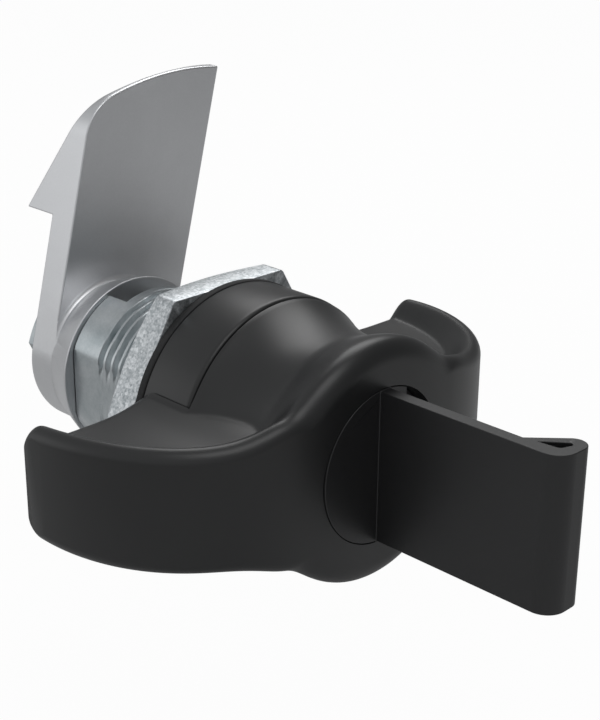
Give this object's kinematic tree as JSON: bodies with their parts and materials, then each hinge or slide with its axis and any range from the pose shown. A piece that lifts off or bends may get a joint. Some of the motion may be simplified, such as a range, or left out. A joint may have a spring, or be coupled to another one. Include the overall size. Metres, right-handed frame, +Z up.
{
  "type": "quarter-turn cam latch",
  "caption": "Quarter-turn cam latch: a winged knob with a keyed lock turns a hooked cam arm through a threaded sleeve that a hex nut clamps in a panel.",
  "frame": {"origin": "centre of the panel cut-out, on the panel's outer face, where the gasket's back face lies", "axes": "+Y runs along the turning axis, from the knob through the panel to the cam; +Z is up; the wings lie along X at rest"},
  "size_m": [0.0616, 0.083, 0.0509],
  "materials": {
    "plated_body": "bright plating over a cast surface, slightly mottled",
    "black_plastic": "satin black",
    "black_rubber": "matte black",
    "zinc_nut": "dull, speckled zinc",
    "white_plastic": "plain, slightly translucent",
    "plain_steel": "smooth, turned",
    "screw_steel": "zinc plated",
    "spring_steel": "smooth, darker grey",
    "cam_metal": "satin cast metal with a fine grain",
    "lock_metal": "plain cast metal",
    "wafer_brass": "stamped",
    "key_plastic": "satin black"
  },
  "bodies": {
    "mount_body": {"housing": "plated_body", "collar": "black_plastic", "panel_gasket": "black_rubber", "hex_nut": "zinc_nut", "thrust_washer": "white_plastic"},
    "handle": {"wing_knob": "black_plastic", "spindle": "plain_steel", "knob_screws": "screw_steel", "spindle_o_ring": "black_rubber", "wave_washer": "spring_steel", "retaining_ring": "spring_steel", "cam": "cam_metal", "cam_washer": "screw_steel", "cam_lock_washer": "spring_steel", "cam_screw": "screw_steel", "lock_barrel": "lock_metal"},
    "plug": {"lock_plug": "lock_metal", "plug_clip": "spring_steel", "plug_o_ring": "black_rubber", "wafer_springs": "spring_steel"},
    "wafer_set": {"wafers": "wafer_brass"},
    "bolt": {"lock_bolt": "plain_steel"},
    "key": {"key_head": "key_plastic", "key_blade": "plain_steel"}
  },
  "joints": [
    {"name": "quarter_turn", "type": "hinge", "parent": "mount_body", "child": "handle", "pos_m": [0, 0, 0], "axis": [0, 1, 0], "range_deg": [-90, 0]},
    {"name": "lock_turn", "type": "hinge", "parent": "handle", "child": "plug", "pos_m": [0, -0.015, 0], "axis": [0, 1, 0], "range_deg": [0, 90]},
    {"name": "bolt_throw", "type": "slide", "parent": "handle", "child": "bolt", "axis": [0, 0, 1], "range_m": [0, 0.002]},
    {"name": "key_pull", "type": "slide", "parent": "plug", "child": "key", "axis": [0, -1, 0], "range_m": [0, 0.02]},
    {"name": "wafer_shift", "type": "slide", "parent": "plug", "child": "wafer_set", "axis": [0, 0, 1], "range_m": [0, 0.0008], "deforming": ["wafer_springs"]}
  ],
  "couplings": [
    {"joint": "bolt_throw", "follows": "lock_turn", "m_per_rad": 0.0012732},
    {"joint": "wafer_shift", "follows": "key_pull", "ratio": 0.04}
  ]
}
